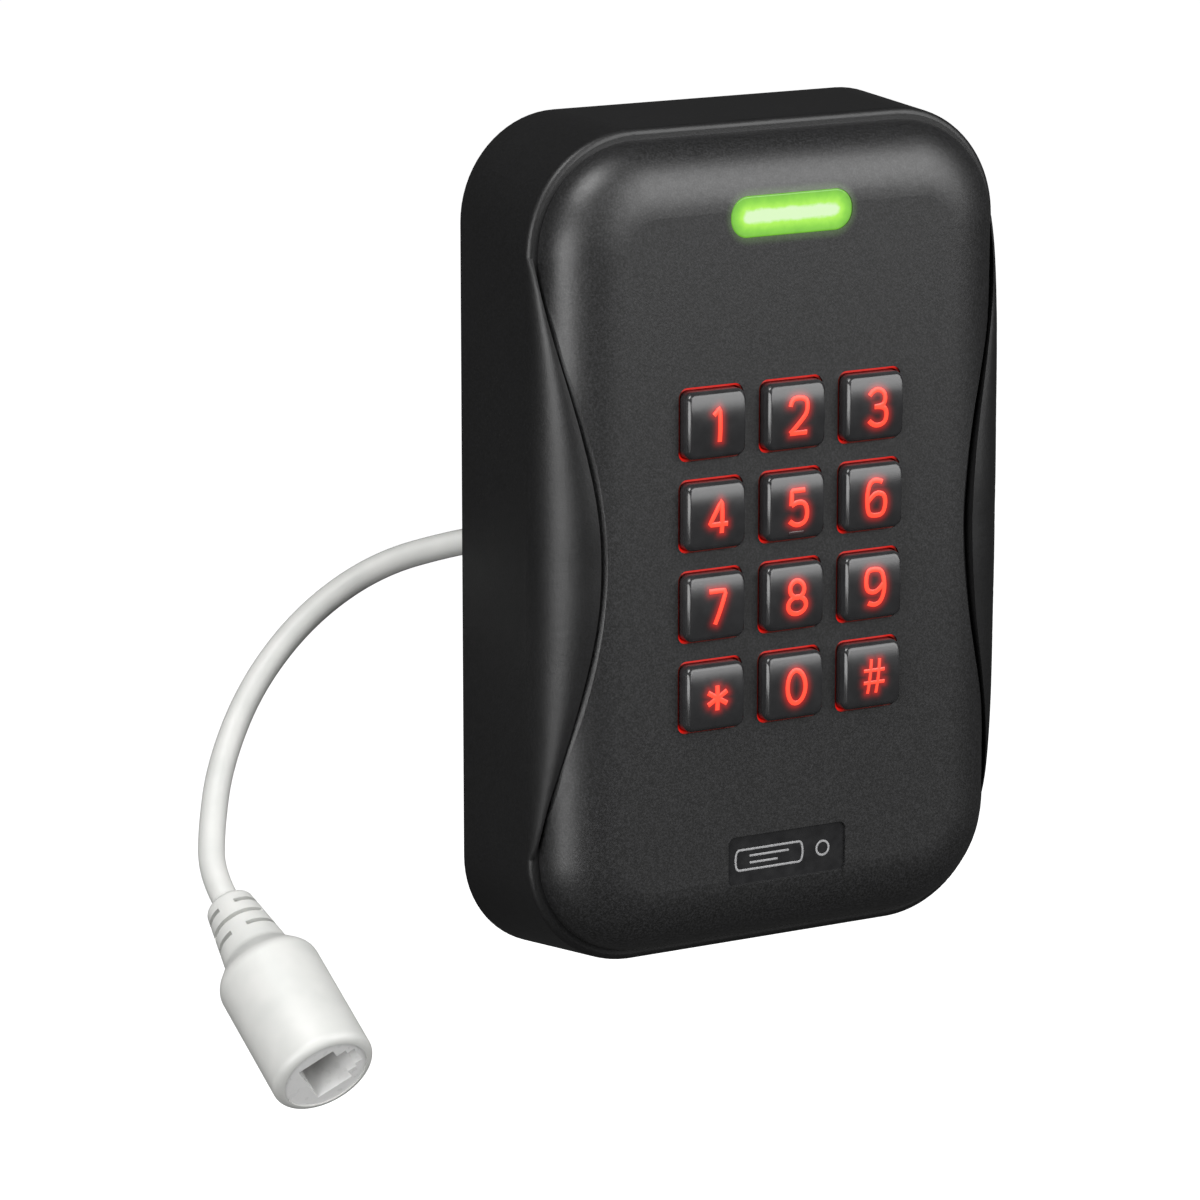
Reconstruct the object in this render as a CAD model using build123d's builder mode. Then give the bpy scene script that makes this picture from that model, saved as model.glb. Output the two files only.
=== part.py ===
"""Keypad access reader: a wall-mounted card and keypad reader with a short network lead.

Frame: +X to the right, +Y into the wall, +Z up, origin at the centre of the back plane.
A height h is the distance in front of the wall, so a sketch at height h lies at y = -h.
"""

from build123d import *
import math
import os

os.makedirs("parts", exist_ok=True)

# Housing
WIDTH = 82.0
HEIGHT = 130.6
DEPTH = 28.4
CORNER_R = 16.0
WALL = 2.5
CAVITY_R = 14.0

# The top and bottom walls draw in to the front, whose outline sits higher than the back's
FRONT_H = 127.8
FRONT_R = 18.0
FRONT_Z = 0.85
EDGE_R = 0.8
END_EDGE_R = 0.95
LEDGE_H = 20.9
FRONT_WALL = 2.0

# Cheeks: the shoulders beside the keys, whose inner edge is a waisted seam
SEAM_Z = FRONT_H / 2 - FRONT_R
SEAM_X = WIDTH / 2 - EDGE_R
SEAM_GAP = 0.4
SEAM_STEPS = 6
LEVELS = [SEAM_Z * math.sin(math.pi / 2 * i / SEAM_STEPS) for i in range(-SEAM_STEPS, SEAM_STEPS + 1)]
WAIST_X = 32.9
WAIST_RISE = 7.7
CREST_INSET = 0.4

# Front panel: flat in the middle, rolled off elliptically to its edge
PANEL_BACK_H = 26.5
LEDGE_W = 1.7
PANEL_X = WIDTH / 2 - LEDGE_W
PANEL_R = FRONT_R - LEDGE_W
PANEL_ROLL = 10.7
PANEL_CHAMFER = 1.1
WINDOW_W = 58.0
WINDOW_H = 114.0
WINDOW_R = 4.0
POCKET_W = 52.0
POCKET_H = 110.0
POCKET_R = 3.0
POCKET_LIP_H = 24.8

# Keys
PITCH = 13.95
KEY_ROWS_Z = 0.0
KEY_OPENING = 11.25
KEY_OPENING_R = 1.5
KEY_W = 10.2
KEY_R = 1.3
KEY_EDGE_R = 0.7
KEY_TOP_H = 30.7
KEY_CROWN_R = 19.0
KEY_SKIRT = 11.6
KEY_SKIRT_H = 24.75
KEY_SKIRT_T = 0.6
PLUNGER_LEN = 1.7
KEY_NAMES = ["1", "2", "3", "4", "5", "6", "7", "8", "9", "star", "0", "hash"]

# Clearance at each side of a piece that is set in an opening
FIT = 0.03

# Light guide behind the panel
GUIDE_H = 25.5
RIM_OUT = 11.21
RIM_IN = 10.6
RIM_H = 28.15
POST = 1.6
POST_LEN = 3.4

# Board and keypad mat
BOARD_BACK_H = 19.7
BOARD_H = 21.3
BOARD_W = 56.0
BOARD_LEN = 112.0
BOARD_R = 3.0
POTTING_H = 18.8
MAT_H = 22.9
MEMBRANE_H = 22.1
COLLAR_H = 23.75
DOME_R = 3.0

# Light bar and badge
BAR_Z = 51.4
BAR_W = 21.3
BAR_T = 6.3
BAR_R = 3.0
BAR_FLANGE = 1.0
LIGHT_SPOTS = [(-6, BAR_Z), (0, BAR_Z), (6, BAR_Z)]
BADGE_Z = -47.8
BADGE_W = 21.0
BADGE_T = 7.8
BADGE_R = 1.2
BADGE_DEPTH = 0.7
BADGE_PLATE_T = 0.3

# Back of the housing
SHOULDER_H = 5.2
SHOULDER = 2.0
COVER_BACK_H = 2.6
COVER_H = 4.6
PLATE_T = 2.0
BOX_SCREWS = 83.3
SIDE_SCREWS = 60.0
SCREW_SLOT = 4.4
PLATE_WINDOW_W = 34.0
PLATE_WINDOW_H = 44.0
COVER_SCREWS = [(31.4, 54.4), (-31.4, 54.4), (33.5, 0), (-33.5, 0), (31.4, -54.4), (-31.4, -54.4)]
BOSS_R = 3.5
BOARD_SCREW_X = 22.0
BOARD_SCREW_Z = 50.0
HOOK_X = 20.0
HOOK_Z = 55.1
LOCK_H = 3.0
LOCK_TAB_Z = HEIGHT / 2 - 3.85

# Lead: it leaves the back through an angled strain relief and ends in a socket
EXIT_Z = -3.0
GLAND_H = 6.6
GLAND_R = 4.5
TAIL_R = 2.9
CABLE_D = 4.1
CABLE_ROUTE = [
    (-6.5, 7.5, -3),
    (-12, 13, -3),
    (-20.3, 18, -3.8),
    (-30.9, 22.3, -5.3),
    (-43, 25, -8),
    (-55.4, 24.7, -14.5),
    (-66.6, 21.2, -23.6),
    (-75.2, 14.8, -33.5),
    (-80.4, 7.4, -41.4),
    (-83.4, 1.25, -46.8),
    (-83.2, -4, -50.1),
]
CONNECTOR_LEN = 35.0
CONNECTOR_R = 8.0
NECK_R = 3.65
NECK_END_R = 5.3
NECK_LEN = 11.0
SHOULDER_LEN = 3.4
NOTCH_SIDE = (0.806, -0.289, 0.516)
INSERT_R = 6.6
INSERT_LEN = 17.0
SOCKET_W = 8.4
SOCKET_T = 5.9
SOCKET_DEPTH = 13.0
RIB_ROWS = [(2.5, 0), (5.1, 90), (7.7, 0)]
RIB_SLOT = 0.8
RIB_DEPTH = 1.2


def at(height):
    """The plane parallel to the wall at this height in front of it, with local y up."""
    return Plane.XZ.offset(height)


def waist(level):
    """How near this level is to the waist: 1 at the waist, 0 at the seam's ends."""
    return (1 + math.cos(math.pi * level / SEAM_Z)) / 2


def seam_x(level):
    return SEAM_X - (SEAM_X - WAIST_X) * waist(level) ** 0.86


def seam(inset=0.0):
    """Points down the right-hand seam in front view, closer together at its ends."""
    return [(seam_x(level) - inset, FRONT_Z + level) for level in LEVELS]


def save(piece, name):
    piece.part.label = name
    export_step(piece.part, f"parts/{name}.step")


def screw(name, head_r, head_t, shank_r, shank_len):
    """A pan-head screw with its head's face at z = 0 and its shank along -Z."""
    with BuildPart() as made:
        Cylinder(head_r, head_t, align=(Align.CENTER, Align.CENTER, Align.MAX))
        fillet(made.faces().sort_by(Axis.Z)[-1].edges(), head_t * 0.4)
        with Locations((0, 0, -head_t)):
            Cylinder(shank_r, shank_len, align=(Align.CENTER, Align.CENTER, Align.MAX))
        with BuildSketch(Plane.XY):
            RegularPolygon(head_r * 0.5, 6)
        extrude(amount=-head_t * 0.6, mode=Mode.SUBTRACT)
    made.part.label = name
    return made.part


# ---------------------------------------------------------------- outer shell
with BuildPart() as shell_ends:
    with BuildSketch(at(0)):
        RectangleRounded(WIDTH, HEIGHT, CORNER_R)
    with BuildSketch(at(LEDGE_H)):
        with Locations((0, FRONT_Z)):
            RectangleRounded(WIDTH, FRONT_H, FRONT_R)
    loft()
    fillet(shell_ends.faces().sort_by(Axis.Y)[0].edges(), END_EDGE_R)
    with BuildSketch(at(0)):
        with Locations((0, FRONT_Z)):
            Rectangle(WIDTH + 2, 2 * SEAM_Z)
    extrude(amount=LEDGE_H + 1, mode=Mode.SUBTRACT)

with BuildPart() as outer_shell:
    roll_h = LEDGE_H - EDGE_R
    wall_x = WIDTH / 2
    for level in LEVELS:
        top_h = LEDGE_H + WAIST_RISE * waist(level) ** 0.4
        x = seam_x(level) - CREST_INSET * waist(level) ** 0.25
        with BuildSketch(Plane.XY.offset(FRONT_Z + level)):
            with BuildLine():
                Polyline((-wall_x, -roll_h), (-wall_x, 0), (wall_x, 0), (wall_x, -roll_h))
                EllipticalCenterArc((x, -roll_h), wall_x - x, top_h - roll_h, 270, arc_size=90)
                Line((x, -top_h), (-x, -top_h))
                EllipticalCenterArc((-x, -roll_h), wall_x - x, top_h - roll_h, 180, arc_size=90)
            make_face()
    loft()
    with BuildSketch(at(LEDGE_H)):
        with BuildLine():
            right = seam()
            left = [(-x, z) for x, z in reversed(right)]
            Spline(right, tangents=[(0, 1), (0, 1)])
            Line(right[-1], left[0])
            Spline(left, tangents=[(0, -1), (0, -1)])
            Line(left[-1], right[0])
        make_face()
    extrude(amount=DEPTH, mode=Mode.SUBTRACT)
    add(shell_ends.part)
    with BuildSketch(at(0)):
        RectangleRounded(WIDTH - 2 * WALL, HEIGHT - 2 * WALL, CORNER_R - WALL)
    extrude(amount=SHOULDER_H, mode=Mode.SUBTRACT)
    with BuildSketch(at(SHOULDER_H)):
        inset = WALL + SHOULDER
        RectangleRounded(WIDTH - 2 * inset, HEIGHT - 2 * inset, CAVITY_R)
    extrude(amount=LEDGE_H - FRONT_WALL - SHOULDER_H, mode=Mode.SUBTRACT)
    with BuildSketch(at(LEDGE_H - FRONT_WALL)):
        RectangleRounded(WINDOW_W, WINDOW_H, WINDOW_R)
    extrude(amount=FRONT_WALL, mode=Mode.SUBTRACT)

    with BuildSketch(at(COVER_H)):
        with Locations(COVER_SCREWS):
            Circle(BOSS_R)
    extrude(amount=LEDGE_H - FRONT_WALL - COVER_H)
    with BuildSketch(at(COVER_H)):
        with Locations(COVER_SCREWS):
            Circle(1.3)
    extrude(amount=10, mode=Mode.SUBTRACT)
    with Locations(Plane(origin=(0, -LOCK_H, -HEIGHT / 2), z_dir=(0, 0, 1))):
        Cylinder(2.2, 1.6, align=(Align.CENTER, Align.CENTER, Align.MIN), mode=Mode.SUBTRACT)
        Cylinder(1.15, 4, align=(Align.CENTER, Align.CENTER, Align.MIN), mode=Mode.SUBTRACT)
save(outer_shell, "outer_shell")


# ---------------------------------------------------------------- front panel
def rolled_edge(plane, reach):
    """The panel's section on this plane, from local x = 0 out to its rolled edge."""
    flat = reach - PANEL_ROLL
    with BuildSketch(plane) as section:
        with BuildLine():
            Polyline((flat, -DEPTH), (0, -DEPTH), (0, -LEDGE_H), (reach, -LEDGE_H))
            EllipticalCenterArc((flat, -LEDGE_H), PANEL_ROLL, DEPTH - LEDGE_H, 270, arc_size=90)
        make_face()
    return section.sketch


def panel_height(x):
    """The height of the panel's face at this distance from its centre line."""
    rolled = max(0, min(x, PANEL_X) - PANEL_X + PANEL_ROLL) / PANEL_ROLL
    return LEDGE_H + (DEPTH - LEDGE_H) * math.sqrt(1 - rolled**2)


with BuildPart() as seam_chamfer:
    for level in LEVELS[1:-1]:
        edge = seam_x(level) - SEAM_GAP
        cut = PANEL_CHAMFER * waist(level) ** 0.4
        top_h = panel_height(edge - cut) + 0.1
        with BuildSketch(Plane.XY.offset(FRONT_Z + level)):
            with BuildLine():
                low = (edge + SEAM_GAP, -(panel_height(edge) - 1.3 * cut))
                Polyline((edge - cut, -top_h), (edge + SEAM_GAP, -top_h), low, close=True)
            make_face()
    loft()

with BuildPart() as front_panel:
    corner = Vector(PANEL_X - PANEL_R, 0, FRONT_Z + SEAM_Z)
    side_plane = Plane(origin=corner, x_dir=(1, 0, 0), z_dir=(0, 0, 1))
    top_plane = Plane(origin=corner, x_dir=(0, 0, 1), z_dir=(-1, 0, 0))
    extrude(rolled_edge(Plane.XY.offset(FRONT_Z), PANEL_X), amount=SEAM_Z)
    revolve(rolled_edge(side_plane, PANEL_R), axis=Axis(corner, (0, -1, 0)), revolution_arc=90)
    extrude(rolled_edge(top_plane, PANEL_R), amount=corner.X)
    mirror(about=Plane.YZ)
    mirror(about=Plane.XY.offset(FRONT_Z))
    with BuildSketch(at(LEDGE_H)):
        with BuildLine():
            right = seam(SEAM_GAP)
            left = [(-x, z) for x, z in reversed(right)]
            edge, foot = right[0]
            brow = right[-1][1]
            Spline(right, tangents=[(0, 1), (0, 1)])
            Polyline((edge, brow), (edge, HEIGHT / 2), (-edge, HEIGHT / 2), (-edge, brow))
            Spline(left, tangents=[(0, -1), (0, -1)])
            Polyline((-edge, foot), (-edge, -HEIGHT / 2), (edge, -HEIGHT / 2), (edge, foot))
        make_face()
    extrude(amount=DEPTH, mode=Mode.INTERSECT)
    add(seam_chamfer.part, mode=Mode.SUBTRACT)
    add(seam_chamfer.part.mirror(Plane.YZ), mode=Mode.SUBTRACT)
    with BuildSketch(at(LEDGE_H)):
        RectangleRounded(WINDOW_W, WINDOW_H, WINDOW_R)
    extrude(amount=POCKET_LIP_H - LEDGE_H, mode=Mode.SUBTRACT)
    with BuildSketch(at(POCKET_LIP_H)):
        with Locations((0, FRONT_Z)):
            RectangleRounded(POCKET_W, POCKET_H, POCKET_R)
    extrude(amount=PANEL_BACK_H - POCKET_LIP_H, mode=Mode.SUBTRACT)
    with BuildSketch(at(PANEL_BACK_H)):
        with Locations((0, BAR_Z)):
            RectangleRounded(BAR_W, BAR_T, BAR_R)
        with Locations((0, KEY_ROWS_Z)):
            with GridLocations(PITCH, PITCH, 3, 4):
                RectangleRounded(KEY_OPENING, KEY_OPENING, KEY_OPENING_R)
    extrude(amount=DEPTH - PANEL_BACK_H + 1, mode=Mode.SUBTRACT)
    with BuildSketch(at(DEPTH - BADGE_DEPTH)):
        with Locations((0, BADGE_Z)):
            RectangleRounded(BADGE_W, BADGE_T, BADGE_R)
    extrude(amount=2, mode=Mode.SUBTRACT)
    with BuildSketch(at(BOARD_H)):
        with GridLocations(2 * BOARD_SCREW_X, 2 * BOARD_SCREW_Z, 2, 2):
            Circle(2.2)
    extrude(amount=PANEL_BACK_H - BOARD_H)
    with BuildSketch(at(BOARD_H)):
        with GridLocations(2 * BOARD_SCREW_X, 2 * BOARD_SCREW_Z, 2, 2):
            Circle(1.05)
    extrude(amount=4.5, mode=Mode.SUBTRACT)
save(front_panel, "front_panel")

with BuildPart() as light_bar:
    with BuildSketch(at(GUIDE_H)):
        with Locations((0, BAR_Z)):
            RectangleRounded(BAR_W + 2 * BAR_FLANGE, BAR_T + 2 * BAR_FLANGE, BAR_R + 0.5)
    extrude(amount=PANEL_BACK_H - GUIDE_H)
    with BuildSketch(at(PANEL_BACK_H)):
        with Locations((0, BAR_Z)):
            RectangleRounded(BAR_W - 2 * FIT, BAR_T - 2 * FIT, BAR_R - FIT)
    extrude(amount=DEPTH - PANEL_BACK_H - 0.1)
    fillet(light_bar.faces().sort_by(Axis.Y)[0].edges(), 0.25)
    with BuildSketch(at(GUIDE_H)):
        with Locations(LIGHT_SPOTS):
            Rectangle(3, 2.4)
    extrude(amount=-2.9)
save(light_bar, "light_bar")

with BuildPart() as badge_plate:
    with BuildSketch(at(DEPTH - BADGE_DEPTH)):
        with Locations((0, BADGE_Z)):
            RectangleRounded(BADGE_W - 2 * FIT, BADGE_T - 2 * FIT, BADGE_R - FIT)
    extrude(amount=BADGE_PLATE_T)
save(badge_plate, "badge_plate")

# ---------------------------------------------------------------- key light guide
with BuildPart() as key_light_frame:
    with BuildSketch(at(GUIDE_H)):
        with Locations((0, KEY_ROWS_Z)):
            RectangleRounded(2 * PITCH + 15, 3 * PITCH + 16, 2)
            with GridLocations(PITCH, PITCH, 3, 4):
                RectangleRounded(RIM_IN, RIM_IN, 1.2, mode=Mode.SUBTRACT)
    extrude(amount=PANEL_BACK_H - GUIDE_H)
    with BuildSketch(at(PANEL_BACK_H)):
        with Locations((0, KEY_ROWS_Z)):
            with GridLocations(PITCH, PITCH, 3, 4):
                RectangleRounded(RIM_OUT, RIM_OUT, KEY_OPENING_R)
                RectangleRounded(RIM_IN, RIM_IN, 1.2, mode=Mode.SUBTRACT)
    extrude(amount=RIM_H - PANEL_BACK_H)
    with BuildSketch(at(GUIDE_H)):
        with Locations((0, KEY_ROWS_Z)):
            with GridLocations(PITCH, PITCH, 2, 3):
                Rectangle(POST, POST)
    extrude(amount=-POST_LEN)
save(key_light_frame, "key_light_frame")

# ---------------------------------------------------------------- keys
for i, legend in enumerate(KEY_NAMES):
    key_x = PITCH * (i % 3 - 1)
    key_z = KEY_ROWS_Z + PITCH * (1.5 - i // 3)
    centre = Plane(origin=(key_x, 0, key_z), x_dir=(1, 0, 0), z_dir=(0, -1, 0))
    with BuildPart() as key:
        with BuildSketch(centre.offset(KEY_SKIRT_H)):
            RectangleRounded(KEY_W, KEY_W, KEY_R)
        extrude(amount=KEY_TOP_H - KEY_SKIRT_H)
        with Locations((key_x, KEY_CROWN_R - KEY_TOP_H, key_z)):
            Cylinder(KEY_CROWN_R, 2 * KEY_W, rotation=(0, 90, 0), mode=Mode.INTERSECT)
        fillet(key.faces().sort_by(Axis.Y)[0].edges(), KEY_EDGE_R)
        if legend == "5":
            with BuildSketch(centre.offset(KEY_TOP_H - 1.5)):
                with Locations((0, -4.0)):
                    RectangleRounded(2.6, 0.6, 0.25)
            extrude(amount=1.2)
        with BuildSketch(centre.offset(KEY_SKIRT_H)):
            RectangleRounded(KEY_SKIRT, KEY_SKIRT, 1)
        extrude(amount=KEY_SKIRT_T)
        with BuildSketch(centre.offset(KEY_SKIRT_H)):
            Circle(2)
        extrude(amount=-PLUNGER_LEN)
    save(key, f"key_{legend}")

# ---------------------------------------------------------------- keypad mat and domes
with BuildPart() as keypad_mat:
    with BuildSketch(at(BOARD_H)):
        with Locations((0, KEY_ROWS_Z)):
            RectangleRounded(3 * PITCH + 7, 4 * PITCH + 2, 2)
            with GridLocations(PITCH, PITCH, 2, 3):
                Circle(1.5, mode=Mode.SUBTRACT)
    extrude(amount=MAT_H - BOARD_H)
    with BuildSketch(at(MAT_H)):
        with Locations((0, KEY_ROWS_Z)):
            with GridLocations(PITCH, PITCH, 3, 4):
                Circle(3.7)
    extrude(amount=COLLAR_H - MAT_H)
    with BuildSketch(at(MEMBRANE_H)):
        with Locations((0, KEY_ROWS_Z)):
            with GridLocations(PITCH, PITCH, 3, 4):
                Circle(2.5)
    extrude(amount=COLLAR_H - MEMBRANE_H, mode=Mode.SUBTRACT)
    with BuildSketch(at(BOARD_H)):
        with Locations((0, KEY_ROWS_Z)):
            with GridLocations(PITCH, PITCH, 3, 4):
                Circle(DOME_R + 0.1)
    extrude(amount=0.35, mode=Mode.SUBTRACT)
save(keypad_mat, "keypad_mat")

with BuildPart() as snap_domes:
    with BuildSketch(at(BOARD_H)):
        with Locations((0, KEY_ROWS_Z)):
            with GridLocations(PITCH, PITCH, 3, 4):
                Circle(DOME_R)
    extrude(amount=0.3)
    chamfer(snap_domes.faces().group_by(Axis.Y)[0].edges(), 0.2)
save(snap_domes, "snap_domes")

with BuildPart() as key_lights:
    with BuildSketch(at(BOARD_H)):
        with Locations((0, KEY_ROWS_Z)):
            with GridLocations(PITCH, PITCH, 2, 3):
                Rectangle(1.6, 1.2)
    extrude(amount=0.6)
save(key_lights, "key_lights")

with BuildPart() as status_lights:
    with BuildSketch(at(BOARD_H)):
        with Locations(LIGHT_SPOTS):
            Rectangle(3, 2.4)
    extrude(amount=1.1)
save(status_lights, "status_lights")

# ---------------------------------------------------------------- main board
with BuildPart() as main_board:
    with BuildSketch(at(BOARD_BACK_H)):
        RectangleRounded(BOARD_W, BOARD_LEN, BOARD_R)
        with GridLocations(2 * BOARD_SCREW_X, 2 * BOARD_SCREW_Z, 2, 2):
            Circle(1.1, mode=Mode.SUBTRACT)
    extrude(amount=BOARD_H - BOARD_BACK_H)
save(main_board, "main_board")


def ring(name, outer, inner, thick, back):
    """A flat rounded-rectangle ring behind the board, from this height to this much in front."""
    with BuildPart() as made:
        with BuildSketch(at(back)):
            RectangleRounded(*outer, 5)
            RectangleRounded(*inner, 3, mode=Mode.SUBTRACT)
        extrude(amount=thick)
    save(made, name)
    return made.part


def block(name, x, z, wide, tall, thick, front=BOARD_BACK_H, corner=0.5):
    """A component as a rounded block that stands back from this height."""
    with BuildPart() as made:
        with BuildSketch(at(front)):
            with Locations((x, z)):
                RectangleRounded(wide, tall, corner)
        extrude(amount=-thick)
    save(made, name)
    return made.part


behind = [
    ring("antenna_coil", (40, 92), (35, 87), 1.3, BOARD_BACK_H - 1.3),
    ring("ferrite_ring", (41, 93), (34, 86), 0.6, BOARD_BACK_H - 1.9),
    block("radio_module", -8, 32, 16, 14, 2.4),
    block("processor", 9, 32, 10, 10, 1.2, corner=0.2),
    block("power_module", -9, -33, 12, 12, 4.5, corner=1.5),
    block("buzzer", 9, -33, 12, 12, 5.5, corner=5.99),
    block("tamper_sensor", 0, 21, 13, 2.6, 2.6, corner=1.2),
    block("cable_header", 0, EXIT_Z, 14, 6, 5.5, corner=0.4),
    block("lead_plug", 0, EXIT_Z, 12.6, 5.2, 4.5, front=BOARD_BACK_H - 5.5, corner=0.4),
]

with BuildPart() as inner_leads:
    with BuildSketch(at(GLAND_H)):
        with Locations((0, EXIT_Z)):
            with GridLocations(1.6, 1.8, 4, 2):
                Circle(0.45)
    extrude(amount=BOARD_BACK_H - 10 - GLAND_H)
save(inner_leads, "inner_leads")
behind.append(inner_leads.part)

# ---------------------------------------------------------------- screws
board_screw = screw("board_screw", 1.9, 1.2, 1.0, 5)
cover_screw = screw("cover_screw", 2.5, 1.2, 1.25, 9)
lock_screw = screw("lock_screw", 2.0, 1.1, 1.0, 4.4)

with BuildPart() as board_screws:
    for x in (-BOARD_SCREW_X, BOARD_SCREW_X):
        for z in (-BOARD_SCREW_Z, BOARD_SCREW_Z):
            head = Plane(origin=(x, 1.2 - BOARD_BACK_H, z), z_dir=(0, 1, 0))
            add(head.location * board_screw)
save(board_screws, "board_screws")
behind.append(board_screws.part)

with BuildPart() as cover_screws:
    for x, z in COVER_SCREWS:
        head = Plane(origin=(x, -COVER_BACK_H - 0.1, z), z_dir=(0, 1, 0))
        add(head.location * cover_screw)
save(cover_screws, "cover_screws")

with BuildPart() as security_screw:
    head = Plane(origin=(0, -LOCK_H, 0.4 - HEIGHT / 2), z_dir=(0, 0, -1))
    add(head.location * lock_screw)
save(security_screw, "security_screw")

# ---------------------------------------------------------------- rear cover, gasket, potting
with BuildPart() as rear_cover:
    with BuildSketch(at(COVER_BACK_H)):
        RectangleRounded(WIDTH - 5.4, HEIGHT - 5.4, CORNER_R - 2.7)
        with Locations((0, EXIT_Z)):
            Circle(GLAND_R + FIT, mode=Mode.SUBTRACT)
        with Locations(COVER_SCREWS):
            Circle(1.4, mode=Mode.SUBTRACT)
        with Locations((HOOK_X, 56.5), (-HOOK_X, 56.5)):
            Rectangle(9, 5.8, mode=Mode.SUBTRACT)
        with Locations((0, -LOCK_TAB_Z)):
            Rectangle(16, 5, mode=Mode.SUBTRACT)
    extrude(amount=COVER_H - COVER_BACK_H)
    with BuildSketch(at(COVER_BACK_H)):
        with Locations(COVER_SCREWS):
            Circle(2.7)
    extrude(amount=1.3, mode=Mode.SUBTRACT)
save(rear_cover, "rear_cover")

with BuildPart() as cover_gasket:
    with BuildSketch(at(COVER_H)):
        RectangleRounded(WIDTH - 5.4, HEIGHT - 5.4, CORNER_R - 2.7)
        RectangleRounded(WIDTH - 8.8, HEIGHT - 8.8, CORNER_R - 4.4, mode=Mode.SUBTRACT)
        with Locations(COVER_SCREWS):
            Circle(BOSS_R + FIT, mode=Mode.SUBTRACT)
    extrude(amount=SHOULDER_H - COVER_H)
save(cover_gasket, "cover_gasket")

with BuildPart() as potting_fill:
    with BuildSketch(at(COVER_H)):
        RectangleRounded(WIDTH - 9.2, HEIGHT - 9.2, CAVITY_R - 0.1)
        with Locations(COVER_SCREWS):
            Circle(BOSS_R + FIT, mode=Mode.SUBTRACT)
    extrude(amount=POTTING_H - COVER_H)
    with BuildSketch(at(POTTING_H)):
        RectangleRounded(BOARD_W, BOARD_LEN, BOARD_R)
    extrude(amount=BOARD_BACK_H - POTTING_H)
    with BuildSketch(at(COVER_H)):
        with Locations((0, EXIT_Z)):
            Circle(GLAND_R + FIT)
    extrude(amount=GLAND_H - COVER_H, mode=Mode.SUBTRACT)
    with BuildSketch(at(COVER_H)):
        with Locations((HOOK_X, 57), (-HOOK_X, 57)):
            Rectangle(10, 8)
    extrude(amount=3.4, mode=Mode.SUBTRACT)
    for piece in behind:
        add(piece, mode=Mode.SUBTRACT)
save(potting_fill, "potting_fill")

# ---------------------------------------------------------------- mounting plate
with BuildPart() as mounting_plate:
    with BuildSketch(at(0)):
        RectangleRounded(WIDTH - 6, HEIGHT - 6, CORNER_R - 3)
        with Locations((0, EXIT_Z)):
            RectangleRounded(PLATE_WINDOW_W, PLATE_WINDOW_H, 4, mode=Mode.SUBTRACT)
        with GridLocations(0, BOX_SCREWS, 1, 2):
            SlotOverall(8, SCREW_SLOT, rotation=90, mode=Mode.SUBTRACT)
        with GridLocations(SIDE_SCREWS, 0, 2, 1):
            SlotOverall(8, SCREW_SLOT, mode=Mode.SUBTRACT)
        with Locations((0, 24)):
            Circle(3.02, mode=Mode.SUBTRACT)
    extrude(amount=PLATE_T)
    with BuildSketch(at(PLATE_T)):
        with Locations((HOOK_X, HOOK_Z), (-HOOK_X, HOOK_Z)):
            Rectangle(8, 1.4)
    extrude(amount=4.8)
    with BuildSketch(at(PLATE_T + 3.6)):
        with Locations((HOOK_X, HOOK_Z + 1.3), (-HOOK_X, HOOK_Z + 1.3)):
            Rectangle(8, 4)
    extrude(amount=1.2)
    with BuildSketch(at(PLATE_T)):
        with Locations((0, -LOCK_TAB_Z)):
            Rectangle(14, 1.2)
    extrude(amount=2.4)
    with Locations(Plane(origin=(0, -LOCK_H, -HEIGHT / 2), z_dir=(0, 0, 1))):
        Cylinder(1.05, 7, align=(Align.CENTER, Align.CENTER, Align.MIN), mode=Mode.SUBTRACT)
save(mounting_plate, "mounting_plate")

with BuildPart() as tamper_magnet:
    with BuildSketch(at(0)):
        with Locations((0, 24)):
            Circle(3)
    extrude(amount=PLATE_T)
save(tamper_magnet, "tamper_magnet")

# ---------------------------------------------------------------- strain relief and lead
exit_point = Vector(*CABLE_ROUTE[0])
exit_way = (Vector(*CABLE_ROUTE[1]) - exit_point).normalized()
elbow = exit_point - exit_way * (exit_point.X / exit_way.X)
with BuildPart() as cable_gland:
    with BuildSketch(at(GLAND_H)):
        with Locations((0, EXIT_Z)):
            Circle(GLAND_R)
    extrude(amount=-(GLAND_H + elbow.Y))
    with BuildSketch(at(COVER_BACK_H)):
        with Locations((0, EXIT_Z)):
            Circle(6.2)
    extrude(amount=-1.4)
    with Locations(elbow):
        Sphere(GLAND_R)
    tail = Plane(origin=elbow, z_dir=exit_way)
    with BuildSketch(tail):
        Circle(GLAND_R)
    with BuildSketch(Plane(origin=exit_point, z_dir=exit_way)):
        Circle(TAIL_R)
    loft()
save(cable_gland, "cable_gland")

route = [Vector(*p) for p in CABLE_ROUTE]
runs = [b - a for a, b in zip(route, route[1:])]
radii = []
for before, after in zip(runs, runs[1:]):
    half_turn = math.radians(before.get_angle(after)) / 2
    radii.append(0.45 * min(before.length, after.length) / math.tan(half_turn))
with BuildPart() as cable:
    with BuildLine() as lead_path:
        FilletPolyline(*route, radius=radii)
    with BuildSketch(Plane(origin=route[0], z_dir=runs[0])):
        Circle(CABLE_D / 2)
    sweep()
save(cable, "cable")
lead_len = lead_path.wires()[0].length
print("lead length", round(lead_len, 1), "radii", [round(r, 1) for r in radii])
print("tube volume over section x length",
      round(cable.part.volume / (math.pi * CABLE_D**2 / 4 * lead_len), 4))

# ---------------------------------------------------------------- connector on the lead
boot_end = route[-1]
axis = runs[-1].normalized()
notch = Vector(*NOTCH_SIDE)
notch = (notch - axis * notch.dot(axis)).normalized()
side = Plane(origin=boot_end, x_dir=notch, z_dir=notch.cross(axis))


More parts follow.
